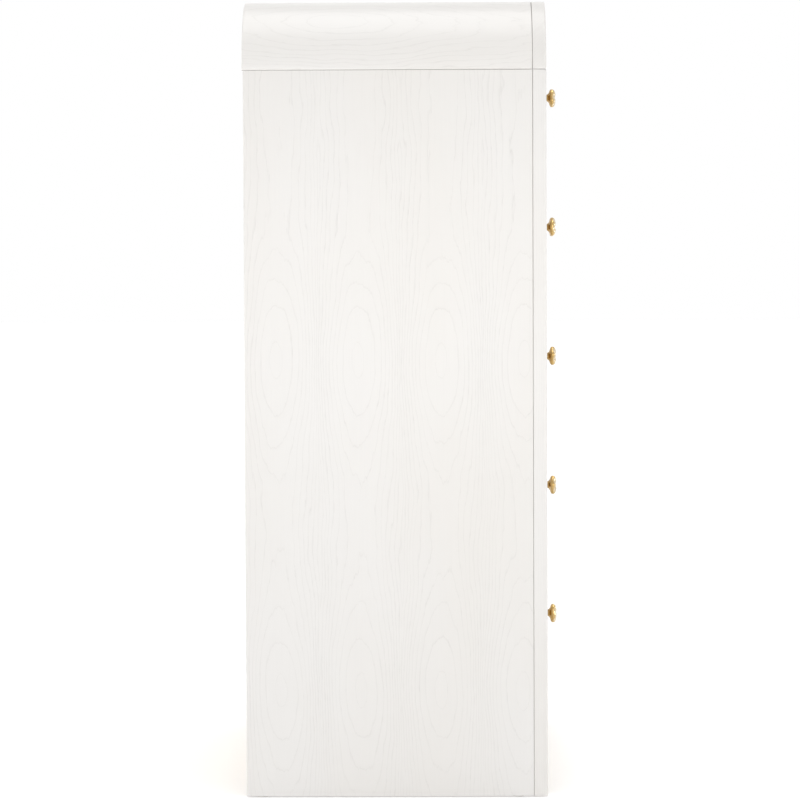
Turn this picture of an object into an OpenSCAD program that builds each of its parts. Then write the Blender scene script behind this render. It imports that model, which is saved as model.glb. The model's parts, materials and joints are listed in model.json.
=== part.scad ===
// Tall chest of five drawers with rounded shoulders.
// Millimetres. +Z is up, the front faces -Y, and +X is to the right seen from the front.
// The origin is on the floor under the centre of the chest, knobs included.

/* [Case] */
// Overall width of the case
case_w = 965; // [780:5:1200]
// Depth from the front frame to the back edge of the top
case_d = 482; // [400:1:600]
// Overall height
case_h = 1270; // [1050:5:1550]
// Outer radius of the rounded shoulders
shoulder_r = 115; // [92:1:140]
// Thickness of the side panels, shoulders and top
panel_t = 22; // [18:1:27]
// How far the top and the shoulders stand past the side panels at the back
back_overhang = 2; // [0.5:0.5:4]
// Thickness of the bottom panel
deck_t = 18; // [12:1:22]
// Thickness of the back panel
back_t = 6; // [4:1:8]
// Depth of the back panel's rear face below the back edge of the side panels
back_inset = 2; // [0.5:0.5:4]
// Width of the rabbet that holds the back panel
rabbet_w = 10; // [8:1:12]
// Thickness of the rear rails
rear_rail_t = 18; // [12:1:19]
// Height of the upper rear rail
rear_rail_h = 60; // [45:1:72]
// Height of each packing cleat behind the stiles
cleat_h = 52; // [44:1:62]

/* [Front frame] */
// Width of the stiles
stile_w = 38; // [32:1:46]
// Depth of the frame, front to back
frame_d = 22; // [18:1:27]
// Height of the top rail
top_rail_h = 55; // [46:1:66]
// Height of the rails between drawers
rail_h = 19; // [15:1:24]
// Height of the base rail
base_rail_h = 60; // [48:1:72]
// Clear height under the base rail
base_clear = 120; // [95:5:150]
// Radius of the corners under the base rail
base_corner_r = 40; // [20:1:45]
// Rounding of the outer edges
edge_r = 2.5; // [1:0.5:4]
// Depth of the V-grooves along the outside joints
groove = 1.2; // [0.6:0.1:2]

/* [Joinery] */
// Length of the tenons and tongues
tenon_len = 8; // [5:1:10]
// Thickness of the tenons and tongues
tenon_t = 7; // [5:1:9]
// Bare wood beside and at the ends of a tenon or tongue
tenon_margin = 4; // [2:1:6]
// Width of a drawer side's tongue where it enters the front
tongue_root = 7; // [5:0.5:8]
// Width of that tongue at its tip
tongue_tip = 10; // [8.5:0.5:11]
// Number of dovetails at each rear corner of a drawer
tails = 3; // [2:1:5]
// Width of the wood between two dovetails at their wide end
pin_w = 10; // [7:1:14]
// Taper of each side of a dovetail
tail_slope = 2; // [1:0.5:3]

/* [Drawers] */
// Gap round each drawer front
front_gap = 2.5; // [1.5:0.5:3.5]
// Depth of the drawer fronts behind the face of the frame
front_setback = 3; // [0:0.5:4]
// Thickness of the drawer fronts
front_t = 20; // [18:1:24]
// Thickness of the drawer sides and backs
box_t = 12; // [11:1:15]
// Thickness of the drawer bottoms
bottom_t = 6; // [4:1:9]
// Depth of the groove that holds a drawer bottom
bottom_groove = 6; // [4:1:7]
// Height of a drawer bottom above the lower edge of the sides
bottom_rise = 12; // [8:1:16]
// Height of the sides' lower edge above the front's lower edge
box_rise = 14; // [10:1:18]
// Depth of the sides' upper edge below the front's upper edge
box_drop = 30; // [22:1:36]
// Clear space behind a closed drawer
box_back_gap = 20; // [20:1:30]
// Clearance between the top drawer's box and the rounded opening
arc_clear = 3; // [1:0.5:6]

/* [Slides] */
// Space between a drawer's side and the frame opening, filled by the slide
slide_t = 12.7; // [12.7:0.1:14]
// Height of the channel fixed to the case
channel_h = 45.5; // [40:0.5:50]
// Thickness of the sheet steel
sheet_t = 1.2; // [0.9:0.1:1.5]
// Depth of the channel fixed to the case
channel_depth = 9; // [7:0.5:10]
// Space for the balls between two members
ball_gap = 3.4; // [2.5:0.1:4]
// Side clearance between two members
member_gap = 0.8; // [0.5:0.1:1]
// Height of the slide's centre above the lower edge of the drawer's side
slide_rise = 72; // [60:1:84]
// Space between the back of a drawer front and its slides
slide_front_gap = 2; // [1:0.5:5]
// Space between the rear end of a slide and the back of the drawer
slide_back_gap = 25; // [10:1:40]
// Distance of a slide's screws from its ends
slide_screw_inset = 45; // [30:1:60]

/* [Knobs] */
// Diameter of a knob's head
knob_d = 31; // [24:1:38]
// Projection of a knob from the drawer front
knob_out = 23.5; // [19:0.5:28]
// Thickness of a knob's head
head_t = 13; // [10:0.5:16]
// Share of that thickness behind the head's rim
head_back_share = 0.5; // [0.3:0.05:0.6]
// Diameter of a knob's neck
neck_d = 9; // [7:0.5:11]
// Diameter of a knob's foot
foot_d = 14; // [11:0.5:17]
// Distance from the side of the case to a knob's centre
knob_inset = 180; // [145:5:215]

/* [Fastenings] */
// Diameter of a knob screw
knob_screw_d = 4; // [3:0.5:5]
// Length of a knob screw inside the knob
knob_screw_grip = 10; // [8:1:14]
// Shank diameter of the small wood screws
screw_d = 3.2; // [2.5:0.1:4]
// Head diameter of the small wood screws
screw_head_d = 6.4; // [5.5:0.1:7]
// Length of the screws that hold the back panel
back_screw_len = 20; // [16:1:25]
// Length of the screws that hold the slides
slide_screw_len = 10; // [8:0.5:10.5]
// Number of back panel screws up each side
back_screw_rows = 6; // [4:1:9]
// Diameter of the holes for wall screws
anchor_d = 5.5; // [4.5:0.5:7]
// Spacing of the two holes for wall screws
anchor_spacing = 406.4; // [300:0.1:420]
// Diameter of a floor glide
glide_d = 17; // [14:1:18]
// Height of a floor glide under the case
glide_out = 2; // [1:0.5:4]
// Distance of the floor glides from the ends of the side panels
glide_inset = 25; // [15:1:40]

/* [Hidden] */
$fn = 96;
tiny = 0.01;
past = 1; // how far a cut runs past the surface that it opens
drawer_count = 5;
lacquer = [0.95, 0.94, 0.92];
birch = [0.87, 0.77, 0.61];
brass = [0.80, 0.62, 0.28];
zinc = [0.70, 0.72, 0.74];
nylon = [0.90, 0.90, 0.88];

// Case: right half, from the middle outwards
half_w = case_w / 2;
side_in = half_w - panel_t;
open_half = half_w - stile_w;
shoulder_x = half_w - shoulder_r;
seam_z = case_h - shoulder_r;
top_z = case_h - panel_t;

// Case: front to back
knob_proud = knob_out - front_setback;
front_y = -(case_d + knob_proud) / 2 + knob_proud;
back_y = front_y + case_d;
frame_y = front_y + frame_d;
side_y = back_y - back_overhang;
back_rear_y = side_y - back_inset;
back_front_y = back_rear_y - back_t;

// Frame opening, bottom to top
open_z = base_clear + base_rail_h;
open_top = case_h - top_rail_h;
open_h = (open_top - open_z - (drawer_count - 1) * rail_h) / drawer_count;
pitch = open_h + rail_h;
open_r = open_top - seam_z;
deck_z = open_z - deck_t;

// Tongues and tenons
wall_middle = half_w - panel_t / 2;
tongue_margin = 2 * tenon_len;
corner_tenon_h = 2 * tenon_len;
frame_middle_y = front_y + frame_d / 2;

// Screws in the rear rails, with the wall screws below the upper row
rail_screw_x = shoulder_x * 0.8;
upper_screw_z = top_z - rear_rail_h / 4;
lower_screw_z = (base_clear + deck_z) / 2;
anchor_z = top_z - rear_rail_h * 0.6;

// Drawer fronts and boxes
front_h = open_h - 2 * front_gap;
face_y = front_y + front_setback;
front_back_y = face_y + front_t;
box_half = open_half - slide_t;
box_y = back_front_y - box_back_gap;
box_h = front_h - box_rise - box_drop;
arc_x = box_half + arc_clear - (open_half - open_r);
arc_limit = seam_z + sqrt(max(0, open_r * open_r - max(0, arc_x) * max(0, arc_x))) - arc_clear;

// Slides, counted from the cabinet side
slide_y = front_back_y + slide_front_gap;
slide_end_y = box_y - slide_back_gap;
middle_h = channel_h - 2 * (sheet_t + ball_gap);
member_h = middle_h - 2 * (sheet_t + ball_gap);
middle_u = sheet_t + member_gap;
member_u = middle_u + sheet_t + member_gap;
middle_depth = slide_t - sheet_t - member_gap - middle_u;
member_depth = slide_t - member_u;
head_h = (screw_head_d - screw_d) / 2;

// Knobs
knob_x = half_w - knob_inset;
head_y = knob_out - head_t;
screw_pan_d = 8;
screw_pan_h = 2.5;

// Floor glides
glide_nail_d = 2.4;
glide_nail_len = 15;

function opening_z(n) = open_z + (n - 1) * pitch;
function front_z(n) = opening_z(n) + front_gap;
function knob_z(n) = front_z(n) + front_h / 2;
function box_z(n) = front_z(n) + box_rise;
function box_height(n) = n == drawer_count ? min(box_h, arc_limit - box_z(n)) : box_h;
function slide_z(n) = box_z(n) + slide_rise;

CASE_NODES = [
    "side_panel_left", "side_panel_right", "shoulder_left", "shoulder_right", "top_panel",
    "back_panel", "bottom_panel", "stile_left", "stile_right", "corner_left", "corner_right",
    "top_rail", "drawer_rails", "base_rail", "rear_rails", "slide_cleats", "slide_channels",
    "floor_glides", "back_screws", "slide_screws"
];
DRAWER_NODES = ["front", "sides", "back", "bottom", "knobs", "screws", "runners", "middles"];

// ---- Helpers ----

// The children, and their mirror image on the left
module both_sides() {
    children();
    mirror([1, 0, 0]) children();
}

// A box given by its lowest and highest corners
module block(low, high) {
    translate(low) cube(high - low);
}

// Extrudes an outline drawn in X and Z from y0 back to y1
module back_from(y0, y1) {
    translate([0, y1, 0]) rotate([90, 0, 0]) linear_extrude(y1 - y0) children();
}

// Turns an outline drawn outwards and back through the shoulder's quarter circle
module round_shoulder() {
    translate([shoulder_x, 0, seam_z]) rotate([90, 0, 0]) rotate_extrude(angle = 90)
        mirror([0, 1]) children();
}

// Extrudes an outline drawn upwards and back, from x0 to x1
module sideways(x0, x1) {
    translate([x0, 0, 0]) rotate([90, 0, 90]) linear_extrude(x1 - x0)
        mirror([1, 0]) rotate(90) children();
}

// Section of an outer wall: a V-groove half at its front corner, a round at its back corner
module wall_section(thick, deep) {
    difference() {
        square([thick, deep]);
        translate([thick, 0]) rotate(45) square(groove * sqrt(2), center = true);
        translate([thick - edge_r, deep - edge_r]) difference() {
            square(edge_r + past);
            circle(edge_r);
        }
    }
}

// Section of the front frame: the round is in front and the V-groove half is behind
module frame_section(thick) {
    translate([0, frame_d]) mirror([0, 1]) wall_section(thick, frame_d);
}

// The V-groove where the right shoulder and corner meet the side panel and stile
module seam_groove() {
    side = groove * sqrt(2);
    translate([half_w, (front_y + back_y) / 2, seam_z]) rotate([0, 45, 0])
        cube([side, case_d + 2 * past, side], center = true);
    translate([half_w - stile_w / 2, front_y, seam_z]) rotate([45, 0, 0])
        cube([stile_w + 2 * past, side, side], center = true);
}

// Half of the inside outline of the case, a given distance into its walls
module inside_half(extra) {
    square([side_in + extra, seam_z]);
    square([shoulder_x, top_z + extra]);
    translate([shoulder_x, seam_z]) circle(shoulder_r - panel_t + extra);
}

// The inside outline of the case between two heights
module inside_outline(extra, z0) {
    intersection() {
        union() {
            inside_half(extra);
            mirror([1, 0]) inside_half(extra);
        }
        translate([-half_w, z0]) square([case_w, case_h - z0]);
    }
}

// The outline of one opening of the frame, a given distance inside it
module opening_outline(n, gap) {
    half = open_half - gap;
    low = opening_z(n) + gap;
    high = opening_z(n) + open_h - gap;
    r = open_r - gap;
    if (n == drawer_count) {
        translate([-half, low]) square([2 * half, high - r - low]);
        translate([-half + r, low]) square([2 * (half - r), high - low]);
        translate([half - r, high - r]) circle(r);
        translate([r - half, high - r]) circle(r);
    } else {
        translate([-half, low]) square([2 * half, high - low]);
    }
}

// ---- Fastenings ----

// A countersunk wood screw along +Z whose head is flush with z = 0
module wood_screw(len) {
    translate([0, 0, -len]) cylinder(d = screw_d, h = len - head_h + tiny);
    translate([0, 0, -head_h]) cylinder(d1 = screw_d, d2 = screw_head_d, h = head_h);
}

module back_screws() color(zinc) {
    side_x = side_in + rabbet_w / 2;
    step = (seam_z - open_z) / back_screw_rows;
    for (row = [0 : back_screw_rows - 1]) both_sides()
        back_screw_at(side_x, open_z + (row + 0.5) * step);
    for (x = [-rail_screw_x, 0, rail_screw_x]) {
        back_screw_at(x, upper_screw_z);
        back_screw_at(x, lower_screw_z);
    }
}

module back_screw_at(x, z) {
    translate([x, back_rear_y, z]) rotate([-90, 0, 0]) wood_screw(back_screw_len);
}

// The two holes for wall screws
module anchor_holes() {
    for (x = [-anchor_spacing / 2, anchor_spacing / 2])
        translate([x, back_rear_y + past, anchor_z]) rotate([90, 0, 0])
            cylinder(d = anchor_d, h = back_t + rear_rail_t + 2 * past);
}

// Screws through the right slide of drawer n: into the cleat, or into the drawer's side
module slide_screw_pair(n, into_case) {
    u = into_case ? sheet_t : slide_t - sheet_t;
    turn = into_case ? -90 : 90;
    for (y = [slide_y + slide_screw_inset, slide_end_y - slide_screw_inset])
        translate([open_half - u, y, slide_z(n)]) rotate([0, turn, 0]) wood_screw(slide_screw_len);
}

module slide_screws() color(zinc) {
    for (n = [1 : drawer_count]) both_sides() slide_screw_pair(n, true);
}

// A nylon disc with a nail, under the right side panel
module glide_at(y) {
    translate([wall_middle, y, 0]) {
        cylinder(d = glide_d, h = glide_out);
        cylinder(d = glide_nail_d, h = glide_out + glide_nail_len);
    }
}

module floor_glides() color(nylon) {
    both_sides() {
        glide_at(frame_y + glide_inset);
        glide_at(side_y - glide_inset);
    }
}

// ---- Case ----

// The space that the back panel fills, out to the back of the case
module back_space(y1) {
    back_from(back_front_y, y1) inside_outline(rabbet_w, base_clear);
}

// Tongue on the right side panel's front edge, in the stile
module stile_tongue() {
    block([wall_middle - tenon_t / 2, frame_y - tenon_len, base_clear],
          [wall_middle + tenon_t / 2, frame_y, seam_z - corner_tenon_h - tenon_margin]);
}

// Tongue under the right shoulder, in the side panel's top edge
module shoulder_tongue() {
    block([wall_middle - tenon_t / 2, frame_y + tongue_margin, seam_z - tenon_len],
          [wall_middle + tenon_t / 2, back_front_y - tongue_margin, seam_z]);
}

// Tongue on the top panel's right end, in the shoulder
module top_tongue() {
    middle = case_h - panel_t / 2;
    block([shoulder_x, frame_y + tongue_margin, middle - tenon_t / 2],
          [shoulder_x + tenon_len, back_front_y - tongue_margin, middle + tenon_t / 2]);
}

// Tenon under the right corner block, in the stile
module corner_tenon() {
    block([open_half + tenon_margin, frame_middle_y - tenon_t / 2, seam_z - corner_tenon_h],
          [half_w - 2 * tenon_margin, frame_middle_y + tenon_t / 2, seam_z]);
}

// Tenons at both ends of a rail that spans from -half to half
module rail_tenons(half, z0, h) {
    block([-half - tenon_len, frame_middle_y - tenon_t / 2, z0 + tenon_margin],
          [half + tenon_len, frame_middle_y + tenon_t / 2, z0 + h - tenon_margin]);
}

module deck_block() {
    block([-side_in - tenon_len, frame_y, deck_z], [side_in + tenon_len, back_front_y, open_z]);
}

module side_panel_right() color(lacquer) {
    difference() {
        translate([side_in, frame_y, glide_out]) linear_extrude(seam_z - glide_out)
            wall_section(panel_t, side_y - frame_y);
        seam_groove();
        back_space(back_y + past);
        deck_block();
        shoulder_tongue();
        floor_glides();
        back_screws();
    }
    stile_tongue();
}

module shoulder_right() color(lacquer) {
    difference() {
        round_shoulder() translate([shoulder_r - panel_t, frame_y])
            wall_section(panel_t, back_y - frame_y);
        seam_groove();
        back_space(back_y + past);
        top_tongue();
    }
    shoulder_tongue();
}

module top_panel() color(lacquer) {
    difference() {
        sideways(-shoulder_x, shoulder_x) translate([top_z, frame_y])
            wall_section(panel_t, back_y - frame_y);
        back_space(back_y + past);
    }
    both_sides() top_tongue();
}

module back_panel() color(birch) difference() {
    back_space(back_rear_y);
    back_screws();
    anchor_holes();
}

module bottom_panel() color(birch) deck_block();

module stile_right() color(lacquer) difference() {
    translate([open_half, front_y, glide_out]) linear_extrude(seam_z - glide_out)
        frame_section(stile_w);
    seam_groove();
    stile_tongue();
    corner_tenon();
    for (n = [1 : drawer_count - 1]) rail_tenons(open_half, opening_z(n) + open_h, rail_h);
    rail_tenons(open_half, base_clear, base_rail_h);
}

module corner_right() color(lacquer) {
    difference() {
        round_shoulder() translate([0, front_y]) frame_section(shoulder_r);
        back_from(front_y - past, frame_y + past) opening_outline(drawer_count, 0);
        seam_groove();
        rail_tenons(shoulder_x, open_top, top_rail_h);
    }
    corner_tenon();
}

module top_rail() color(lacquer) {
    sideways(-shoulder_x, shoulder_x) translate([open_top, front_y]) frame_section(top_rail_h);
    rail_tenons(shoulder_x, open_top, top_rail_h);
}

module drawer_rails() color(lacquer) for (n = [1 : drawer_count - 1]) {
    z = opening_z(n) + open_h;
    block([-open_half, front_y, z], [open_half, frame_y, z + rail_h]);
    rail_tenons(open_half, z, rail_h);
}

module base_rail() color(lacquer) {
    block([-open_half, front_y, base_clear], [open_half, frame_y, open_z]);
    rail_tenons(open_half, base_clear, base_rail_h);
    both_sides() back_from(front_y, frame_y) difference() {
        translate([open_half - base_corner_r, base_clear - base_corner_r]) square(base_corner_r);
        translate([open_half - base_corner_r, base_clear - base_corner_r]) circle(base_corner_r);
    }
}

module rear_rails() color(birch) difference() {
    union() {
        block([-shoulder_x, back_front_y - rear_rail_t, top_z - rear_rail_h],
              [shoulder_x, back_front_y, top_z]);
        block([-side_in, back_front_y - rear_rail_t, base_clear],
              [side_in, back_front_y, deck_z]);
    }
    back_screws();
    anchor_holes();
}

module slide_cleats() color(birch) difference() {
    intersection() {
        for (n = [1 : drawer_count]) both_sides()
            block([open_half, frame_y, slide_z(n) - cleat_h / 2],
                  [side_in, back_front_y, slide_z(n) + cleat_h / 2]);
        back_from(frame_y, back_front_y) inside_outline(0, base_clear);
    }
    slide_screws();
}

// ---- Slides ----

// A steel channel at the right, from u0 to u1 off the case, with its web at web_u
module channel(n, high, u0, u1, web_u) {
    for (z = [-high / 2, high / 2 - sheet_t])
        block([open_half - u1, slide_y, slide_z(n) + z],
              [open_half - u0, slide_end_y, slide_z(n) + z + sheet_t]);
    block([open_half - web_u - sheet_t, slide_y, slide_z(n) - high / 2],
          [open_half - web_u, slide_end_y, slide_z(n) + high / 2]);
}

module slide_channels() color(zinc) difference() {
    for (n = [1 : drawer_count]) both_sides() channel(n, channel_h, 0, channel_depth, 0);
    slide_screws();
}

module drawer_middles(n) color(zinc) both_sides()
    channel(n, middle_h, middle_u, middle_u + middle_depth, middle_u);

module drawer_runners(n) color(zinc) difference() {
    both_sides() channel(n, member_h, member_u, member_u + member_depth, slide_t - sheet_t);
    both_sides() slide_screw_pair(n, false);
}

// ---- Drawers ----

module drawer_front(n) color(lacquer) difference() {
    back_from(face_y, front_back_y) opening_outline(n, front_gap);
    both_sides() side_tongue(n);
    drawer_bottom(n);
    drawer_screws(n);
}

// The dovetailed front end of the right side, in the back of the front
module side_tongue(n) {
    middle = box_half - box_t / 2;
    translate([middle, front_back_y, box_z(n)]) linear_extrude(box_height(n)) polygon([
        [-tongue_root / 2, 0], [-tongue_tip / 2, -tongue_tip], [tongue_tip / 2, -tongue_tip],
        [tongue_root / 2, 0]
    ]);
}

// The dovetails on the rear end of the right side
module side_tails(n) {
    step = box_height(n) / tails;
    wide = (step - pin_w) / 2;
    narrow = wide - tail_slope;
    for (k = [0 : tails - 1]) translate([box_half - box_t, 0, box_z(n) + (k + 0.5) * step])
        rotate([90, 0, 90]) linear_extrude(box_t) polygon([
            [box_y - box_t, -narrow], [box_y, -wide], [box_y, wide], [box_y - box_t, narrow]
        ]);
}

module drawer_sides(n) color(birch) difference() {
    both_sides() {
        block([box_half - box_t, front_back_y, box_z(n)],
              [box_half, box_y - box_t, box_z(n) + box_height(n)]);
        side_tongue(n);
        side_tails(n);
    }
    drawer_bottom(n);
    drawer_screws(n);
}

module drawer_back(n) color(birch) difference() {
    block([-box_half, box_y - box_t, box_z(n)], [box_half, box_y, box_z(n) + box_height(n)]);
    both_sides() side_tails(n);
    drawer_bottom(n);
}

module drawer_bottom(n) color(birch) {
    half = box_half - box_t + bottom_groove;
    z = box_z(n) + bottom_rise;
    block([-half, front_back_y - bottom_groove, z],
          [half, box_y - box_t + bottom_groove, z + bottom_t]);
}

module drawer_screws(n) color(zinc) both_sides() {
    slide_screw_pair(n, false);
    translate([knob_x, front_back_y, knob_z(n)]) rotate([90, 0, 0]) {
        cylinder(d = knob_screw_d, h = front_t + knob_screw_grip);
        translate([0, 0, -screw_pan_h]) cylinder(d = screw_pan_d, h = screw_pan_h);
    }
}

// Half the section of a knob: foot, waisted neck and lens-shaped head, along its axis
module knob_section() {
    waist = head_y / 2;
    back = head_t * head_back_share;
    front = head_t - back;
    rim = head_y + back;
    difference() {
        square([foot_d / 2, rim]);
        translate([neck_d / 2 + waist, waist]) circle(waist);
    }
    intersection() {
        translate([0, rim]) square([knob_d / 2, front]);
        translate([0, knob_out - dome_r(front)]) circle(dome_r(front));
    }
    intersection() {
        translate([0, head_y]) square([knob_d / 2, back]);
        translate([0, head_y + dome_r(back)]) circle(dome_r(back));
    }
}

// Radius of the sphere whose cap is as wide as the knob's head and has this height
function dome_r(cap) = (knob_d * knob_d / 4 + cap * cap) / (2 * cap);

module drawer_knobs(n) color(brass) both_sides() difference() {
    translate([knob_x, face_y, knob_z(n)]) rotate([90, 0, 0]) rotate_extrude() knob_section();
    translate([knob_x, front_back_y, knob_z(n)]) rotate([90, 0, 0])
        cylinder(d = knob_screw_d, h = front_t + knob_screw_grip);
}

// ---- The chest ----

mirror([1, 0, 0]) side_panel_right();  // side_panel_left
side_panel_right();
mirror([1, 0, 0]) shoulder_right();  // shoulder_left
shoulder_right();
top_panel();
back_panel();
bottom_panel();
mirror([1, 0, 0]) stile_right();  // stile_left
stile_right();
mirror([1, 0, 0]) corner_right();  // corner_left
corner_right();
top_rail();
drawer_rails();
base_rail();
rear_rails();
slide_cleats();
slide_channels();
floor_glides();
back_screws();
slide_screws();
for (n = [1 : drawer_count]) {
    drawer_front(n);
    drawer_sides(n);
    drawer_back(n);
    drawer_bottom(n);
    drawer_knobs(n);
    drawer_screws(n);
    drawer_runners(n);
    drawer_middles(n);
}
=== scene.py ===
"""The looks of a tall chest of five drawers: off-white lacquer, brass knobs, birch drawers, zinc slides."""
import json
import math

import bmesh
import bpy
from mathutils import Matrix, Vector


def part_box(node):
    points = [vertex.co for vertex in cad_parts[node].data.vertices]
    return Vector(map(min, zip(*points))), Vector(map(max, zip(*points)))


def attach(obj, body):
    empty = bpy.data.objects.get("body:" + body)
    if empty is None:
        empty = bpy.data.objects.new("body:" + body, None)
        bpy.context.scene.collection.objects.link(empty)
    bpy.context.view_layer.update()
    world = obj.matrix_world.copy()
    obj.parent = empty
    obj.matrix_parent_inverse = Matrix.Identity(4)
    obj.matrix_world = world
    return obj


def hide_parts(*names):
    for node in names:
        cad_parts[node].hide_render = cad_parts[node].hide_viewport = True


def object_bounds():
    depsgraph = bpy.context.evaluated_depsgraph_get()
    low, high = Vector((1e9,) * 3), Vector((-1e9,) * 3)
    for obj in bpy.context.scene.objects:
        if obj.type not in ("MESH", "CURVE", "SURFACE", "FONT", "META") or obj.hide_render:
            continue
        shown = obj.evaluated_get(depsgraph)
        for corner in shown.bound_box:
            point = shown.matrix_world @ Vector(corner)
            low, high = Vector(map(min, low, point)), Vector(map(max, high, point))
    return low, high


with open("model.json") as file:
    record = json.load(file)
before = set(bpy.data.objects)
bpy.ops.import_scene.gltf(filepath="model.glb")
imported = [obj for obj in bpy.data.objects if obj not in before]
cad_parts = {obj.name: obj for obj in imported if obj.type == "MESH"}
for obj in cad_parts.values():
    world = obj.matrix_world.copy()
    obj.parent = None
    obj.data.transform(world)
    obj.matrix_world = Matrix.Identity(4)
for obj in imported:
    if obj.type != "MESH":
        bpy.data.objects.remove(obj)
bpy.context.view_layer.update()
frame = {"nodes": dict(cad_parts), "record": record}

MM = 0.001
BODY_OF = {node: body for body, nodes in frame["record"]["behaviour"]["bodies"].items() for node in nodes}
DRAWERS = range(1, 6)

# Places taken from the frame, in metres
CASE_LOW, CASE_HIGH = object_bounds()
FRONT_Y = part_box("stile_right")[0].y
SEAM_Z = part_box("stile_right")[1].z           # the joint under the shoulders
FRAME_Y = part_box("drawer_rails")[1].y         # the joint behind the front frame
TONGUE_END_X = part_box("top_panel")[1].x       # the top's tongues reach this far, inside the shoulders
WRAP_R = CASE_HIGH.x - TONGUE_END_X           # the shoulders' grain is wrapped round this radius


# ---- Node trees ----

class Tree:
    """A material's node tree, with short calls for what the materials share."""

    def __init__(self, name):
        self.material = bpy.data.materials.new(name)
        self.material.use_nodes = True
        self.tree = self.material.node_tree
        self.tree.nodes.clear()
        self.shader = self.add("ShaderNodeBsdfPrincipled")
        output = self.add("ShaderNodeOutputMaterial")
        self.tree.links.new(self.shader.outputs[0], output.inputs["Surface"])
        self.place = self.add("ShaderNodeTexCoord").outputs["Object"]
        self.x, self.y, self.z = self.parts(self.place)

    def add(self, kind):
        return self.tree.nodes.new(kind)

    def put(self, socket, value):
        """Links a socket, or sets a constant."""
        if isinstance(value, bpy.types.NodeSocket):
            self.tree.links.new(value, socket)
        else:
            socket.default_value = value

    def parts(self, vector):
        split = self.add("ShaderNodeSeparateXYZ")
        self.put(split.inputs[0], vector)
        return split.outputs

    def math(self, operation, *values, clamp=False):
        node = self.add("ShaderNodeMath")
        node.operation = operation
        node.use_clamp = clamp
        for socket, value in zip(node.inputs, values):
            self.put(socket, value)
        return node.outputs[0]

    def plus(self, first, second, clamp=False):
        return self.math("ADD", first, second, clamp=clamp)

    def minus(self, first, second, clamp=False):
        return self.math("SUBTRACT", first, second, clamp=clamp)

    def times(self, first, second):
        return self.math("MULTIPLY", first, second)

    def over(self, first, second, clamp=False):
        return self.math("DIVIDE", first, second, clamp=clamp)

    def most(self, first, second):
        return self.math("MAXIMUM", first, second)

    def point(self, x, y, z):
        node = self.add("ShaderNodeCombineXYZ")
        for socket, value in zip(node.inputs, (x, y, z)):
            self.put(socket, value)
        return node.outputs[0]

    def stretched(self, x, y, z):
        """The place on the object with its axes scaled."""
        return self.point(self.times(self.x, x), self.times(self.y, y), self.times(self.z, z))

    def noise(self, vector, scale=1.0, detail=2.0, roughness=0.5):
        """Noise from 0 to 1, about 0.5."""
        node = self.add("ShaderNodeTexNoise")
        self.put(node.inputs["Vector"], vector)
        node.inputs["Scale"].default_value = scale
        node.inputs["Detail"].default_value = detail
        node.inputs["Roughness"].default_value = roughness
        return node.outputs["Fac"]

    def streaks(self, u, v, cells, third=0.0, **kind):
        """Noise that follows the grain, with so many cells to the metre across it (u) and along it (v)."""
        return self.noise(self.point(self.times(u, cells[0]), self.times(v, cells[1]), third), **kind)

    def swing(self, noise, amount):
        """Noise turned into a swing about zero."""
        return self.times(self.minus(noise, 0.5), amount)

    def remap(self, value, low, high, to_low=0.0, to_high=1.0, smooth=False):
        node = self.add("ShaderNodeMapRange")
        node.interpolation_type = "SMOOTHSTEP" if smooth else "LINEAR"
        node.clamp = True
        for name, number in (("Value", value), ("From Min", low), ("From Max", high),
                             ("To Min", to_low), ("To Max", to_high)):
            self.put(node.inputs[name], number)
        return node.outputs["Result"]

    def mix(self, share, first, second):
        """Colour from first at share 0 to second at share 1."""
        node = self.add("ShaderNodeMix")
        node.data_type = "RGBA"
        self.put(node.inputs["Factor"], share)
        for name, colour in (("A", first), ("B", second)):
            socket = next(s for s in node.inputs if s.name == name and s.type == "RGBA")
            self.put(socket, colour if isinstance(colour, bpy.types.NodeSocket) else (*colour, 1))
        return next(s for s in node.outputs if s.type == "RGBA")

    def bump(self, height, distance, strength=1.0, normal=None):
        node = self.add("ShaderNodeBump")
        node.inputs["Distance"].default_value = distance
        node.inputs["Strength"].default_value = strength
        self.put(node.inputs["Height"], height)
        if normal is not None:
            self.put(node.inputs["Normal"], normal)
        return node.outputs[0]

    def finish(self, **values):
        """Sets the shader's own sockets by name and returns the material."""
        for name, value in values.items():
            self.put(self.shader.inputs[name.replace("_", " ")], value)
        return self.material


# ---- Veneer ----

LACQUER = (0.857, 0.836, 0.813)
LACQUER_IN_GRAIN = (0.50, 0.48, 0.45)
PALER_SHARE = 1.012
WARMER_SHARES = (0.995, 0.987, 0.972)
# Painted shadow: a thin dark line along each joint stands for the shade in its gap, which the eased edges
# hardly model
JOINT_PAINTED_SHADOW = (0.30, 0.29, 0.27)
JOINT_HALF_WIDTH = 0.12 * MM
JOINT_ROUGHNESS = 0.8

RING_LINE = 1.3 * MM          # width of a ring's line on the side towards the bark
LINE_BEFORE = 0.4             # its width on the other side, as a share of that
THINNEST_LINE = 0.05          # as a share of a ring
CORE_SHARE = 0.2              # the eye's plain middle, as a share of the leaf's half width
HEART_WANDER = 0.022          # how far the heart wanders sideways
BEND = 0.20                   # slow bends in a ring, as a share of the leaf's half width
JAG = 0.055                   # short jags in a ring, as the same share
POINT_WIDTH = 0.07            # width of an arch's point, as a share of the leaf

# Noise cells to the metre, across the grain and along it
WANDER_CELLS = 3.3
BEND_CELLS = (20, 7.0)
JAG_CELLS = (150, 14)
PORE_CELLS = (1300, 60)
FIBRE_CELLS = (420, 9)
FADE_CELLS = (60, 6)
CLOUD_CELLS = (5, 2)
ORANGE_PEEL_CELLS = 260

PIT_DARKNESS = 0.19
LINE_DARKNESS = 0.11
RING_DARKNESS = 0.008
FIBRE_DARKNESS = 0.022
GRAIN_DEPTH = 0.22 * MM
ORANGE_PEEL_DEPTH = 0.06 * MM

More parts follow.
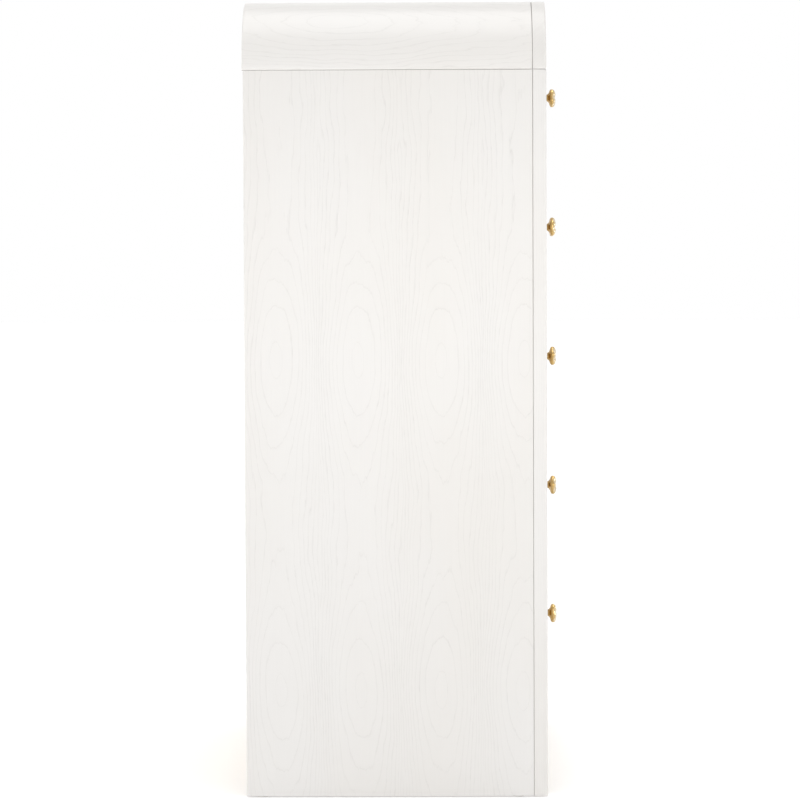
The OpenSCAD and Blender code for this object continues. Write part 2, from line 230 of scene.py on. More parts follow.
SIDE_SHIFT = 0.129            # brings the side's four leaves to where they join
SHOULDER_SHIFT = 0.12         # brings the middle of a leaf to the middle of the shoulder
# Painted light: the shoulders' and top's lacquer is painted paler than the sides', for the brighter light on
# their upturned faces
SHOULDER_PAINTED_LIGHT = 1.025
EYES_ON_DRAWERS = (-0.13, 0.21, 0.02, -0.24, 0.11)     # x of the eye on each drawer front
DRAWER_LEAF = 1.12            # width of a drawer front's leaf, as a share of the front's height


class Cut:
    """How one kind of veneer leaf is cut.

    The leaf is sliced lengthways from a trunk that bends towards and away from the knife. Its rings are
    closed eyes where the heart comes near, pointed arches above and below them, and crowded straight lines
    at both edges.

    leaf is its width, eye_at the place of an eye along it, spacing the distance from eye to eye and heart
    the depth of the heart half way between them. There are so many rings from middle to edge, closer
    together the higher the crowding. Waver makes them uneven. After so many spacings, last, there are no
    more eyes.
    """

    def __init__(self, leaf=0.130, eye_at=0.0, spacing=0.525, heart=0.0595, rings=9.0, crowding=2.4,
                 seed=0.0, waver=1.0, last=50.0):
        self.leaf, self.eye_at, self.spacing, self.heart = leaf, eye_at, spacing, heart
        self.rings, self.crowding, self.seed, self.waver = rings, crowding, seed, waver
        self.last = last


def leaf_place(t, across, along, cut):
    """Place within its leaf, and a number for the leaf that moves its noise."""
    leaves = t.over(across, cut.leaf)
    number = t.math("FLOOR", leaves)
    within = t.times(t.minus(t.minus(leaves, number), 0.5), cut.leaf)
    drift = t.plus(t.times(number, 0.17), cut.seed)
    lean = t.noise(t.point(t.times(along, WANDER_CELLS), drift, cut.seed), detail=1)
    centre = t.plus(within, t.swing(lean, HEART_WANDER * cut.waver))
    return within, centre, drift


def heart_depth_squared(t, along, cut):
    turns = t.times(t.minus(along, cut.eye_at), math.pi / cut.spacing)
    turns = t.math("MINIMUM", turns, cut.last * math.pi)
    depth = t.times(t.math("SINE", turns), cut.heart)
    return t.times(depth, depth)


def growth_rings(t, across, along, cut):
    """The ring number of a place on the veneer, and how many rings there are to a metre there."""
    within, centre, drift = leaf_place(t, across, along, cut)
    deep = heart_depth_squared(t, along, cut)
    radius = t.math("SQRT", t.plus(t.times(centre, centre), deep))
    edge = t.math("SQRT", t.plus(deep, (cut.leaf / 2) ** 2))
    bends = t.streaks(within, along, BEND_CELLS, drift, detail=2)
    jags = t.streaks(within, along, JAG_CELLS, drift, detail=3, roughness=0.6)
    share = t.plus(t.over(radius, edge), t.swing(bends, BEND * cut.waver))
    share = t.plus(share, t.swing(jags, JAG * cut.waver))
    share = t.most(share, 0.02)
    rings = t.times(t.math("POWER", share, cut.crowding), cut.rings)
    rings = t.plus(rings, t.over(share, CORE_SHARE, clamp=True))
    steep = t.times(t.math("POWER", share, cut.crowding - 1), cut.rings * cut.crowding)
    slant = t.over(t.plus(t.math("ABSOLUTE", centre), cut.leaf * POINT_WIDTH), t.times(radius, edge))
    return rings, t.times(steep, slant)


def ring_lines(t, u, v, cut):
    """The line where a ring starts, and the ring's shade, which fades towards the next line."""
    rings, per_metre = growth_rings(t, u, v, cut)
    part = t.math("FRACT", rings)
    rest = t.minus(1.0, part)
    reach = t.most(t.times(per_metre, RING_LINE), THINNEST_LINE)
    after = t.minus(1.0, t.over(part, reach), clamp=True)
    before = t.minus(1.0, t.over(rest, t.times(reach, LINE_BEFORE)), clamp=True)
    outside_core = t.remap(rings, 0.75, 1.0)
    line = t.times(t.most(after, before), outside_core)
    shade = t.times(t.math("POWER", rest, 3.0), outside_core)
    return line, shade


def joint_shadow_mask(t, joints):
    """1 on the painted shadow lines that stand for the shade in the joints' gaps, which lie in these (axis,
    place) planes.
    """
    mask = 0.0
    for axis, place in joints:
        away = t.math("ABSOLUTE", t.minus(getattr(t, axis), place))
        mask = t.most(mask, t.remap(away, JOINT_HALF_WIDTH, 2 * JOINT_HALF_WIDTH, 1.0, 0.0))
    return mask


def lacquer_ground(t, u, v, fibres, seed, strength, painted_lightness):
    """The lacquer's colour between the lines of the grain, scaled by the last argument, which paints the
    shoulders and top paler as painted light.
    """
    cloud = t.streaks(u, v, CLOUD_CELLS, seed + 9, detail=2)
    paler = tuple(c * painted_lightness * PALER_SHARE for c in LACQUER)
    warmer = tuple(c * painted_lightness * share for c, share in zip(LACQUER, WARMER_SHARES))
    ground = t.mix(t.remap(cloud, 0.3, 0.7), paler, warmer)
    fibre_shade = t.times(t.remap(fibres, 0.35, 0.75), FIBRE_DARKNESS * strength)
    return t.mix(fibre_shade, ground, LACQUER_IN_GRAIN)


def lacquered(name, across, along, cut, joints=(), through=None, strength=1.0, painted_lightness=1.0):
    """Off-white satin lacquer over open-grained veneer.

    across and along give the place across and along the grain, and through the place into the wood."""
    t = Tree(name)
    u, v = across(t), along(t)
    w = through(t) if through else 0.0
    line, shade = ring_lines(t, u, v, cut)
    fade = t.remap(t.streaks(u, v, FADE_CELLS, cut.seed + 4), 0.30, 0.62, 0.45, 1.0)
    pores = t.streaks(u, v, PORE_CELLS, t.times(w, PORE_CELLS[0]), detail=2, roughness=0.62)
    fibres = t.streaks(u, v, FIBRE_CELLS, t.times(w, FIBRE_CELLS[0]), detail=3)
    porous = t.plus(t.times(line, 0.75), t.plus(t.times(shade, 0.12), 0.05))
    pits = t.times(t.times(t.remap(pores, 0.52, 0.66), porous), fade)
    lines = t.times(line, fade)
    pit_shade = t.times(pits, PIT_DARKNESS * strength)
    line_shade = t.times(lines, LINE_DARKNESS * strength)
    grain = t.plus(pit_shade, line_shade, clamp=True)
    grain = t.plus(grain, t.times(shade, RING_DARKNESS * strength))
    ground = lacquer_ground(t, u, v, fibres, cut.seed, strength, painted_lightness)
    # painted shadow along the joints' gaps
    joint = joint_shadow_mask(t, joints)
    colour = t.mix(joint, t.mix(grain, ground, LACQUER_IN_GRAIN), JOINT_PAINTED_SHADOW)
    height = t.minus(t.times(fibres, 0.12), t.plus(t.times(pits, 0.9), t.times(lines, 0.5)))
    orange_peel = t.noise(t.place, scale=ORANGE_PEEL_CELLS, detail=1)
    normal = t.bump(orange_peel, ORANGE_PEEL_DEPTH, 0.35)
    normal = t.bump(height, GRAIN_DEPTH * strength, 0.7, normal)
    roughness = t.plus(t.remap(fibres, 0.3, 0.8, 0.36, 0.44), t.times(pits, 0.16))
    roughness = t.most(roughness, t.times(joint, JOINT_ROUGHNESS))
    return t.finish(Base_Color=colour, Roughness=roughness, Normal=normal, IOR=1.48,
                    Specular_IOR_Level=0.5, Coat_Weight=0.18, Coat_Roughness=0.22, Coat_IOR=1.5)


def arc_place(t):
    """Place round the shoulder, from the seam up and over towards the middle of the top."""
    outwards = t.minus(t.math("ABSOLUTE", t.x), TONGUE_END_X)
    above = t.minus(t.z, SEAM_Z)
    on_arc = t.times(t.math("ARCTAN2", above, t.most(outwards, 0.1 * MM)), WRAP_R)
    past_arc = t.most(t.times(outwards, -1), 0.0)
    return t.plus(on_arc, past_arc)


def round_shoulder(t):
    """Place across the shoulder's leaf, whose middle is half way round."""
    arc_middle = WRAP_R * math.pi / 4
    return t.plus(arc_place(t), SHOULDER_SHIFT - arc_middle)


def along_axis(axis):
    return lambda t: getattr(t, axis)


def both_axes(first, second):
    """A place that changes along either axis, for wood that shows faces across both."""
    return lambda t: t.plus(getattr(t, first), getattr(t, second))


def make_lacquers():
    """One lacquer for each way that the veneer lies."""
    seams = (("z", SEAM_Z), ("y", FRAME_Y))
    side = Cut(eye_at=0.171, seed=0.3, last=1.5)
    shoulder = Cut(leaf=0.24, eye_at=0.10, spacing=0.8, heart=0.08, rings=16, crowding=1.8, seed=3.0)
    upright = Cut(leaf=0.5, eye_at=0.3, spacing=6.0, heart=0.02, rings=60, crowding=1.0, seed=6.0, waver=0.2)
    rail = Cut(leaf=0.4, eye_at=0.2, spacing=5.0, heart=0.02, rings=40, crowding=1.0, seed=8.0, waver=0.3)
    return {
        "side": lacquered("lacquer_side", lambda t: t.plus(t.y, SIDE_SHIFT), along_axis("z"), side, seams,
                          along_axis("x")),
        "shoulder": lacquered("lacquer_shoulder", round_shoulder, along_axis("y"), shoulder, seams,
                              painted_lightness=SHOULDER_PAINTED_LIGHT),
        "upright": lacquered("lacquer_upright", both_axes("x", "y"), along_axis("z"), upright, seams,
                             along_axis("y"), strength=0.35),
        "rail": lacquered("lacquer_rail", both_axes("z", "y"), along_axis("x"), rail, seams,
                          along_axis("y"), strength=0.6),
    }


def drawer_lacquer(number, low_z, high_z):
    """Each drawer front is one flat-cut leaf, with the grain from side to side."""
    height = high_z - low_z
    leaf_low = low_z - (DRAWER_LEAF - 1) / 2 * height
    cut = Cut(leaf=height * DRAWER_LEAF, eye_at=EYES_ON_DRAWERS[number - 1], spacing=0.62, heart=0.08,
              rings=15, crowding=2.2, seed=10.0 + number * 1.7)
    return lacquered(f"lacquer_drawer_{number}", lambda t: t.minus(t.z, leaf_low), along_axis("x"), cut,
                     through=along_axis("y"))


# ---- Other materials ----

BIRCH_PALE = (0.72, 0.56, 0.37)
BIRCH_DARK = (0.56, 0.39, 0.22)
BIRCH_FIGURE_CELLS = (26, 1.3)
BIRCH_BANDS = 34              # bands to the metre, which the figure bends
BIRCH_FIBRE_CELLS = (900, 16)
BIRCH_PORE_CELLS = (1700, 90)

# Two colours each: where the mottling is low and where it is high
# Brass comes as a shaded copy for the back and neck and a lit copy for faces turned to the front: painted
# shade and painted reflection
BRASS_PAINTED_SHADE = ((0.62, 0.43, 0.18), (0.51, 0.33, 0.12))
BRASS_PAINTED_REFLECTION = ((0.66, 0.54, 0.36), (0.55, 0.44, 0.27))
ZINC = ((0.60, 0.61, 0.63), (0.68, 0.69, 0.70))
NYLON = ((0.74, 0.73, 0.69), (0.80, 0.79, 0.76))
FLOOR = ((0.86, 0.86, 0.86), (0.88, 0.88, 0.88))
FLOOR_GLOW = 0.24


def birch(name, across, along, coarseness=1.0, figured=0.55):
    """Clear-finished birch: fine fibres, soft figure and short pores along the grain."""
    t = Tree(name)
    u, v = across(t), along(t)
    figure_cells = (BIRCH_FIGURE_CELLS[0] * coarseness, BIRCH_FIGURE_CELLS[1])
    figure = t.streaks(u, v, figure_cells, 1.0, detail=3, roughness=0.45)
    bands = t.math("FRACT", t.plus(t.times(figure, 9.0), t.times(u, BIRCH_BANDS * coarseness)))
    band = t.remap(t.math("ABSOLUTE", t.minus(bands, 0.5)), 0.0, 0.5, 0.0, 1.0, smooth=True)
    fibres = t.streaks(u, v, BIRCH_FIBRE_CELLS, 3.0, detail=3)
    pores = t.remap(t.streaks(u, v, BIRCH_PORE_CELLS, 5.0), 0.62, 0.7)
    colour = t.mix(t.times(band, figured), BIRCH_PALE, BIRCH_DARK)
    colour = t.mix(t.times(t.remap(fibres, 0.3, 0.75), 0.35), colour, BIRCH_DARK)
    colour = t.mix(t.times(pores, 0.4), colour, tuple(c * 0.55 for c in BIRCH_DARK))
    height = t.minus(t.times(fibres, 0.4), t.times(pores, 0.8))
    roughness = t.remap(fibres, 0.3, 0.8, 0.42, 0.56)
    return t.finish(Base_Color=colour, Roughness=roughness, Normal=t.bump(height, 0.12 * MM, 0.6), IOR=1.47,
                    Specular_IOR_Level=0.45, Coat_Weight=0.1, Coat_Roughness=0.3)


def brass():
    """Polished cast brass: soft hammering, fine scratches, and painted shade: a deeper colour on the back
    and neck.

    Faces of a knob turned to the front are painted paler than its back and neck, as a painted reflection of
    the light in front."""
    t = Tree("polished_brass")
    facing = t.parts(t.add("ShaderNodeNewGeometry").outputs["Normal"])
    # painted reflection: the more a face turns to the front (-Y), the paler it is painted
    painted_reflection_share = t.remap(t.times(facing[1], -1.0), 0.30, 0.75, smooth=True)
    cloud = t.noise(t.place, scale=90, detail=3)
    scratches = t.noise(t.stretched(900, 2600, 500), detail=2)
    cloudy = t.remap(cloud, 0.35, 0.7)
    colour = t.mix(painted_reflection_share, t.mix(cloudy, *BRASS_PAINTED_SHADE), t.mix(cloudy, *BRASS_PAINTED_REFLECTION))
    scratched = t.times(t.remap(scratches, 0.55, 0.7), 0.05)
    roughness = t.plus(t.remap(cloud, 0.3, 0.75, 0.09, 0.17), scratched)
    normal = t.bump(scratches, 0.01 * MM, 0.25)
    normal = t.bump(t.noise(t.place, scale=200, detail=1), 0.12 * MM, 0.22, normal)
    return t.finish(Base_Color=colour, Metallic=1.0, Roughness=roughness, Normal=normal)


def zinc(name, shade=1.0, matt=0.0):
    """Zinc plating: drawn along its length, with a faint crystal mottling."""
    t = Tree(name)
    drawn = t.noise(t.stretched(2400, 14, 2400), detail=2)
    mottle = t.noise(t.place, scale=120, detail=2)
    darker, paler = (tuple(shade * c for c in colour) for colour in ZINC)
    colour = t.mix(t.remap(mottle, 0.35, 0.65), darker, paler)
    dull = t.remap(mottle, 0.4, 0.7, 0.0, 0.06)
    roughness = t.plus(t.remap(drawn, 0.3, 0.7, 0.24 + matt, 0.36 + matt), dull)
    normal = t.bump(drawn, 0.02 * MM, 0.5)
    return t.finish(Base_Color=colour, Metallic=1.0, Roughness=roughness, Normal=normal)


def nylon():
    """Moulded nylon with a fine matt texture."""
    t = Tree("moulded_nylon")
    grain = t.noise(t.place, scale=1800, detail=2)
    colour = t.mix(t.remap(grain, 0.3, 0.7), *NYLON)
    return t.finish(Base_Color=colour, Roughness=t.remap(grain, 0.3, 0.7, 0.45, 0.6),
                    Normal=t.bump(grain, 0.04 * MM, 0.5))


def floor_paint():
    """Plain pale floor with a barely visible mottling."""
    t = Tree("studio_floor")
    cloud = t.noise(t.place, scale=3, detail=4)
    colour = t.mix(t.remap(cloud, 0.3, 0.7), *FLOOR)
    return t.finish(Base_Color=colour, Roughness=t.remap(cloud, 0.3, 0.7, 0.6, 0.7),
                    Emission_Color=(1, 1, 1, 1), Emission_Strength=FLOOR_GLOW)


def make_birches():
    """One birch for each way that the boards lie."""
    return {
        "wide": birch("birch_wide", both_axes("z", "y"), along_axis("x")),
        "deep": birch("birch_deep", both_axes("z", "x"), along_axis("y")),
        "back": birch("birch_ply", along_axis("x"), both_axes("z", "y"), coarseness=0.35, figured=0.32),
    }


def make_metals():
    """The metals, and the glides' nylon."""
    return {
        "zinc": zinc("zinc_plate"),
        "screws": zinc("screw_zinc", shade=0.6, matt=0.2),
        "brass": brass(),
        "nylon": nylon(),
    }


# ---- Pieces ----

SAME_PLACE = 2e-6             # points closer than this are one point of the CAD
SHORTEST_EDGE = 1e-5          # edges shorter than this are taken out after easing
FLAT_ANGLE = math.radians(0.5)
SQUARE_ANGLE = math.radians(50)
SHARP_ANGLE = math.radians(35)
FACE_WEIGHT = 90


def add_object(name, data):
    made = bpy.data.objects.new(name, data)
    bpy.context.scene.collection.objects.link(made)
    return made


def add_piece(name, mesh, material, sharp=None):
    """An object made of a bmesh, shaded smooth up to the sharp angle where one is given."""
    data = bpy.data.meshes.new(name)
    mesh.to_mesh(data)
    mesh.free()
    data.materials.append(material)
    if sharp is not None:
        data.polygons.foreach_set("use_smooth", [True] * len(data.polygons))
        data.set_sharp_from_angle(angle=sharp)
    return add_object(name, data)


def stand_for(piece, node):
    """The piece is seen instead of the CAD node, which is hidden, and moves with its body."""
    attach(piece, BODY_OF[node])
    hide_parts(node)


def cad_mesh(node):
    mesh = bmesh.new()
    mesh.from_mesh(frame["nodes"][node].data)
    bmesh.ops.remove_doubles(mesh, verts=mesh.verts, dist=SAME_PLACE)
    return mesh


def soften(node, radius, material, segments=3, keep=None):
    """A copy of a CAD node with its square edges eased, which stands for the node.

    keep(edge) says which edges stay sharp."""
    mesh = cad_mesh(node)
    bmesh.ops.dissolve_limit(mesh, angle_limit=FLAT_ANGLE, verts=mesh.verts, edges=mesh.edges)
    square = [
        e for e in mesh.edges
        if len(e.link_faces) == 2 and e.calc_face_angle(0.0) > SQUARE_ANGLE and e.calc_length() > 2 * radius
        and not (keep and keep(e))
    ]
    if square and radius:
        bmesh.ops.bevel(mesh, geom=square, offset=radius, segments=segments, profile=0.5, affect="EDGES",
                        clamp_overlap=True)
    bmesh.ops.remove_doubles(mesh, verts=mesh.verts, dist=SHORTEST_EDGE)
    bmesh.ops.triangulate(mesh, faces=[f for f in mesh.faces if len(f.verts) > 4])
    bmesh.ops.dissolve_degenerate(mesh, dist=SHORTEST_EDGE, edges=mesh.edges)
    piece = add_piece(node + "_finished", mesh, material, SHARP_ANGLE)
    flatten = piece.modifiers.new("flat_faces", "WEIGHTED_NORMAL")
    flatten.keep_sharp = True
    flatten.weight = FACE_WEIGHT
    stand_for(piece, node)


def in_plane(axis, place):
    """True for an edge that lies in the plane at plus or minus that place."""
    return lambda edge: all(abs(abs(getattr(v.co, axis)) - place) < 1e-5 for v in edge.verts)


# ---- Knobs, in millimetres until they are placed ----

KNOB_ROWS = 44
KNOB_COLUMNS = 80
KNOB_SHARP_ANGLE = math.radians(60)
LOBES = 5
LOBE_DEPTH = 0.035            # as a share of the radius
OVALNESS = 0.02               # as a share of the radius
NECK_LENGTH = 10              # the lobes are in the head only
FRONT_WAVE = 0.8              # the lobes' height on the front
MIDDLE_DIP = 0.9              # a shallow dip in the middle of the front
RIM_WAVE = 0.5                # unevenness of the rim's back
# (radius, projection) from the foot to the middle of the front
KNOB_CURVE = ((7.0, 0.0), (6.9, 0.9), (5.4, 2.4), (4.8, 4.8), (4.9, 7.2), (5.6, 9.3), (7.2, 11.2),
              (10.0, 12.6), (13.2, 13.6), (15.2, 15.2), (15.7, 17.3), (15.3, 19.5), (13.6, 21.4),
              (10.2, 22.6), (5.4, 23.3), (0.0, 23.5))


def knob_profile(share):
    """(radius, projection) of the plain knob, from its foot at 0 to the middle of its front at 1."""
    last = len(KNOB_CURVE) - 1
    position = share * last
    k = min(int(position), last - 1)
    f = position - k
    points = [KNOB_CURVE[max(0, min(last, k + d))] for d in (-1, 0, 1, 2)]
    weights = (-0.5 * f + f * f - 0.5 * f ** 3, 1 - 2.5 * f * f + 1.5 * f ** 3,
               0.5 * f + 2 * f * f - 1.5 * f ** 3, -0.5 * f * f + 0.5 * f ** 3)
    return tuple(sum(w * p[i] for w, p in zip(weights, points)) for i in (0, 1))


def ease(value, low, high):
    """0 below low, 1 above high and a smooth step between."""
    s = max(0.0, min(1.0, (value - low) / (high - low)))
    return s * s * (3 - 2 * s)


def knob_point(share, angle, turn):
    """A point of the lobed knob whose axis is -Y, from the middle of its foot."""
    radius, out = knob_profile(share)
    lobe = math.cos(LOBES * angle + turn)
    oval = math.cos(2 * angle + 1.7 * turn + 0.6)
    uneven = math.cos(3 * angle + 2.3 * turn)
    in_head = ease(radius, 6.0, 14.0) if out > NECK_LENGTH else 0.0
    on_front = ease(out, 16.5, 20.5) * ease(radius, 1.0, 7.0)
    in_middle = ease(7.0 - radius, 0.0, 5.0)
    r = radius * (1 + in_head * (LOBE_DEPTH * lobe + OVALNESS * oval - LOBE_DEPTH))
    s = out - on_front * (FRONT_WAVE - FRONT_WAVE * lobe) - MIDDLE_DIP * in_middle * ease(out, 16.5, 19.5)
    s += in_head * RIM_WAVE * uneven * (1 - ease(out, 13.5, 18.0))
    return Vector((r * math.cos(angle), -s, r * math.sin(angle)))


def knob_mesh(mesh, centre, turn):
    """One soft-lobed knob whose axis runs along -Y from centre, turned about that axis."""
    rows = []
    for row in range(KNOB_ROWS + 1):
        columns = 1 if row == KNOB_ROWS else KNOB_COLUMNS
        points = [knob_point(row / KNOB_ROWS, 2 * math.pi * k / KNOB_COLUMNS, turn) for k in range(columns)]
        rows.append([mesh.verts.new(centre + point * MM) for point in points])
    for lower, upper in zip(rows, rows[1:]):
        for k in range(KNOB_COLUMNS):
            nxt = (k + 1) % KNOB_COLUMNS
            if len(upper) == 1:
                mesh.faces.new((lower[k], lower[nxt], upper[0]))
            else:
                mesh.faces.new((lower[k], lower[nxt], upper[nxt], upper[k]))
    mesh.faces.new(list(reversed(rows[0])))


def make_knobs(number, material):
    """A drawer's pair of knobs, each turned differently."""
    node = f"drawer_{number}_knobs"
    low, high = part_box(node)
    half_head = (high.z - low.z) / 2
    mesh = bmesh.new()
    for side in (-1, 1):
        centre = Vector((side * (high.x - half_head), high.y, (low.z + high.z) / 2))
        knob_mesh(mesh, centre, number * 1.37 + (side + 1) * 0.9)
    bmesh.ops.recalc_face_normals(mesh, faces=mesh.faces)
    piece = add_piece(f"knobs_{number}", mesh, material, KNOB_SHARP_ANGLE)
    smooth = piece.modifiers.new("round", "SUBSURF")
    smooth.levels = 1
    smooth.render_levels = 1
    stand_for(piece, node)


# ---- Back screws ----

RECESS_LENGTH = 0.58          # half of a drive recess, as a share of the head's radius
RECESS_WIDTH = 0.16           # half of its width, as the same share
RECESS_DEPTH = 0.9 * MM
RECESS_TAPER = 0.75           # size of its bottom, as a share of its mouth
TIP = 0.1 * MM


def cross_outline(angle):
    """Distance from the middle of a plus sign to its outline, as a share of the head's radius."""
    folded = abs((angle + math.pi / 4) % (math.pi / 2) - math.pi / 4)
    if math.tan(folded) <= RECESS_WIDTH / RECESS_LENGTH + 1e-6:
        return RECESS_LENGTH / math.cos(folded)
    return RECESS_WIDTH / math.sin(folded)


def islands(mesh):
    """The separate solids of a mesh, each as a list of its vertices' places."""
    left, found = set(mesh.verts), []
    while left:
        front = [left.pop()]
        solid = list(front)
        while front:
            near = {e.other_vert(v) for v in front for e in v.link_edges} & left
            left -= near
            solid += near
            front = list(near)
        found.append([v.co.copy() for v in solid])
    return found


def screw_mesh(mesh, places, angles):
    """A countersunk screw along Y, with a cross recess in its head at the end that is furthest back."""
    low = Vector(tuple(min(p[k] for p in places) for k in range(3)))
    high = Vector(tuple(max(p[k] for p in places) for k in range(3)))
    middle = (low + high) / 2
    head = (high.x - low.x) / 2
    shank = max(math.hypot(p.x - middle.x, p.z - middle.z) for p in places if p.y < low.y + TIP)
    rows = [
        (low.y, [shank] * len(angles)),
        (high.y - (head - shank), [shank] * len(angles)),
        (high.y, [head] * len(angles)),
        (high.y, [head * cross_outline(a) for a in angles]),
        (high.y - RECESS_DEPTH, [head * RECESS_TAPER * cross_outline(a) for a in angles]),
    ]
    rings = []
    for y, radii in rows:
        ring = [(middle.x + r * math.cos(a), y, middle.z + r * math.sin(a)) for r, a in zip(radii, angles)]
        rings.append([mesh.verts.new(place) for place in ring])
    for lower, upper in zip(rings, rings[1:]):
        for k in range(len(angles)):
            mesh.faces.new((lower[k - 1], lower[k], upper[k], upper[k - 1]))
    mesh.faces.new(rings[0])
    bottom = mesh.verts.new((middle.x, high.y - RECESS_DEPTH, middle.z))
    for k in range(len(angles)):
        mesh.faces.new((rings[-1][k - 1], rings[-1][k], bottom))


def make_back_screws(material):
    """The back panel's screws, each where the CAD has one."""
    node = "back_screws"
    corner = math.degrees(math.atan(RECESS_WIDTH / RECESS_LENGTH))
    quarter = (-37, -26, -corner, -8, 0, 8, corner, 26, 37, 45)
    angles = [math.radians(90 * turn + step) for turn in range(4) for step in quarter]
    mesh = bmesh.new()
    source = cad_mesh(node)
    for places in islands(source):
        screw_mesh(mesh, places, angles)
    source.free()
    bmesh.ops.recalc_face_normals(mesh, faces=mesh.faces)
    stand_for(add_piece(node + "_finished", mesh, material), node)


# ---- The chest ----

# Largest radius of the eased edges. The bevel keeps clear of a piece's shortest edges, which leaves about
# 0.03 mm on the case's panels, shoulders, stiles, corner blocks and top rail, and 0.19 mm on the base rail.
FRONT_EDGE = 1.0 * MM
FRAME_EDGE = 0.8 * MM
PANEL_EDGE = 0.6 * MM
GLIDE_EDGE = 0.5 * MM
STEEL_EDGE = 0.4 * MM
BOTTOM_EDGE = 0.4 * MM
BACK_EDGE = 0.3 * MM
PLY_EDGE = 0.2 * MM
NOT_EASED = 0.0


def dress_case(lacquers, birches, metals):
    tongue_ends = in_plane("x", TONGUE_END_X)
    seam = in_plane("z", SEAM_Z)
    for side in ("left", "right"):
        soften(f"side_panel_{side}", PANEL_EDGE, lacquers["side"], keep=seam)
        soften(f"shoulder_{side}", PANEL_EDGE, lacquers["shoulder"], keep=tongue_ends)
        soften(f"stile_{side}", FRAME_EDGE, lacquers["upright"], keep=seam)
        soften(f"corner_{side}", FRAME_EDGE, lacquers["rail"], keep=tongue_ends)
    soften("top_panel", PANEL_EDGE, lacquers["shoulder"], keep=tongue_ends)
    soften("top_rail", FRAME_EDGE, lacquers["rail"], keep=tongue_ends)
    soften("drawer_rails", FRAME_EDGE, lacquers["rail"])
    soften("base_rail", FRAME_EDGE, lacquers["rail"])
    soften("bottom_panel", BOTTOM_EDGE, birches["wide"])
    soften("back_panel", BACK_EDGE, birches["back"])
    soften("rear_rails", FRAME_EDGE, birches["wide"])
    soften("slide_cleats", PANEL_EDGE, birches["deep"])
    soften("slide_channels", STEEL_EDGE, metals["zinc"], segments=2)
    soften("floor_glides", GLIDE_EDGE, metals["nylon"])
    soften("slide_screws", NOT_EASED, metals["screws"])
    make_back_screws(metals["screws"])


def dress_drawer(number, birches, metals):
    node = f"drawer_{number}_"
    low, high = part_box(node + "front")
    soften(node + "front", FRONT_EDGE, drawer_lacquer(number, low.z, high.z))
    soften(node + "sides", FRAME_EDGE, birches["deep"])
    soften(node + "back", FRAME_EDGE, birches["wide"])
    soften(node + "bottom", PLY_EDGE, birches["back"])
    soften(node + "runners", STEEL_EDGE, metals["zinc"], segments=2)
    soften(node + "middles", STEEL_EDGE, metals["zinc"], segments=2)
    soften(node + "screws", NOT_EASED, metals["screws"])
    make_knobs(number, metals["brass"])


# ---- Camera, light and floor ----

CAMERA_AWAY = 5.2             # from the chest's left side
CAMERA_HEIGHT = 0.822
CAMERA_BEHIND_FRONT = 0.165
CAMERA_YAW, CAMERA_PITCH, CAMERA_ROLL = 0.01313, -0.03636, -0.003955       # radians
SENSOR_WIDTH = 36.0           # millimetres
FOCAL_SHARE = 4.104           # focal length as a share of the sensor's width

BOX_WIDTH, BOX_HEIGHT = 1.7, 0.5      # of each soft box
BOXES_MIDDLE = Vector((0, 0, 0.80))
BOXES = (                     # name, place beside the middle, watts
    ("left", (-1.48, -0.07), 3.05),
    ("right", (1.48, -0.07), 3.05),
    ("front", (0.3, -2.6), 9),
    ("behind", (0.3, 2.6), 12),
)
SUN_STRENGTH = 1.45
SUN_ANGLE = math.radians(50)
ROOM_LIGHT = 0.48
ROOM_COLOUR = (0.985, 0.995, 1.0)
REFLECTED_ROOM = ((0.0, 0.75), (0.12, 1.1), (0.4, 1.2), (0.8, 0.8))      # (height of direction, brightness)
FLOOR_REACH = 60              # from the chest to each edge of the floor


def add_camera():
    """A long lens at the left side of the chest, a little above its middle, looking along +X."""
    data = bpy.data.cameras.new("camera")
    data.sensor_width = SENSOR_WIDTH
    data.lens = FOCAL_SHARE * data.sensor_width
    camera = add_object("camera", data)
    level = math.cos(CAMERA_PITCH)
    ahead = Vector((level * math.cos(CAMERA_YAW), math.sin(CAMERA_YAW) * level, math.sin(CAMERA_PITCH)))
    right = ahead.cross(Vector((0, 0, 1))).normalized()
    up = right.cross(ahead)
    turned = math.cos(CAMERA_ROLL) * right + math.sin(CAMERA_ROLL) * up
    upward = math.cos(CAMERA_ROLL) * up - math.sin(CAMERA_ROLL) * right
    place = Vector((CASE_LOW.x - CAMERA_AWAY, FRONT_Y + CAMERA_BEHIND_FRONT, CAMERA_HEIGHT))
    camera.matrix_world = Matrix.Translation(place) @ Matrix((turned, upward, -ahead)).transposed().to_4x4()
    bpy.context.scene.camera = camera


def add_soft_box(name, place, target, watts):
    """A soft box that the camera doesn't see, facing its target."""
    data = bpy.data.lights.new(name, "AREA")
    data.shape = "RECTANGLE"
    data.size, data.size_y = BOX_WIDTH, BOX_HEIGHT
    data.energy = watts
    light = add_object(name, data)
    light.location = place
    light.rotation_euler = (target - place).to_track_quat("-Z", "Y").to_euler()
    light.visible_camera = False


def background(tree, colour, strength):
    """A background of a colour, or of the colour in a socket."""
    node = tree.nodes.new("ShaderNodeBackground")
    node.inputs["Strength"].default_value = strength
    if isinstance(colour, bpy.types.NodeSocket):
        tree.links.new(colour, node.inputs["Color"])
    else:
        node.inputs["Color"].default_value = (*colour, 1)
    return node.outputs[0]


def choose(tree, share, first, second):
    """The first shader at share 0 and the second at share 1."""
    node = tree.nodes.new("ShaderNodeMixShader")
    for socket, value in zip(node.inputs, (share, first, second)):
        tree.links.new(value, socket)
    return node.outputs[0]


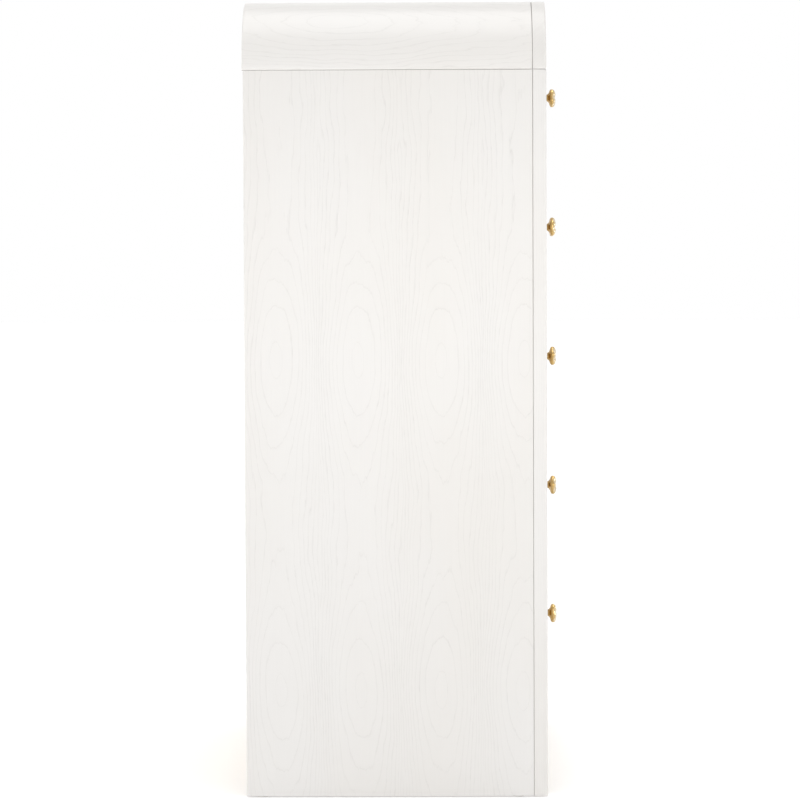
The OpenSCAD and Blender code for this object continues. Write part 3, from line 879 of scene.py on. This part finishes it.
def height_ramp(tree, stops):
    """Grey that depends on how high a direction points."""
    split = tree.nodes.new("ShaderNodeSeparateXYZ")
    tree.links.new(tree.nodes.new("ShaderNodeTexCoord").outputs["Generated"], split.inputs[0])
    node = tree.nodes.new("ShaderNodeValToRGB")
    tree.links.new(split.outputs["Z"], node.inputs["Fac"])
    elements = node.color_ramp.elements
    while len(elements) < len(stops):
        elements.new(0.5)
    for element, (position, level) in zip(elements, stops):
        element.position = position
        element.color = (level, level, level, 1)
    return node.outputs["Color"]


def studio_world():
    """White to the camera. Matt surfaces see an even room, reflections one brightest above the horizon."""
    world = bpy.data.worlds.new("studio")
    bpy.context.scene.world = world
    world.use_nodes = True
    tree = world.node_tree
    tree.nodes.clear()
    ray = tree.nodes.new("ShaderNodeLightPath")
    even = background(tree, ROOM_COLOUR, ROOM_LIGHT)
    reflected = background(tree, height_ramp(tree, REFLECTED_ROOM), 1.0)
    white = background(tree, (1, 1, 1), 1.0)
    room = choose(tree, ray.outputs["Is Glossy Ray"], even, reflected)
    seen = choose(tree, ray.outputs["Is Camera Ray"], room, white)
    tree.links.new(seen, tree.nodes.new("ShaderNodeOutputWorld").inputs["Surface"])


def add_floor():
    mesh = bmesh.new()
    bmesh.ops.create_grid(mesh, x_segments=8, y_segments=8, size=FLOOR_REACH)
    floor = add_piece("floor", mesh, floor_paint())


def add_studio():
    """Soft boxes on all four sides, a wide soft light from overhead, the room and the floor."""
    studio_world()
    for name, away, watts in BOXES:
        add_soft_box(name, BOXES_MIDDLE + Vector((*away, 0)), BOXES_MIDDLE, watts)
    sun = bpy.data.lights.new("overhead", "SUN")
    sun.energy = SUN_STRENGTH
    sun.angle = SUN_ANGLE
    add_object("overhead", sun)
    add_floor()
    bpy.context.scene.view_settings.view_transform = "Standard"


def main():
    lacquers = make_lacquers()
    birches = make_birches()
    metals = make_metals()
    dress_case(lacquers, birches, metals)
    for number in DRAWERS:
        dress_drawer(number, birches, metals)
    add_camera()
    add_studio()


main()
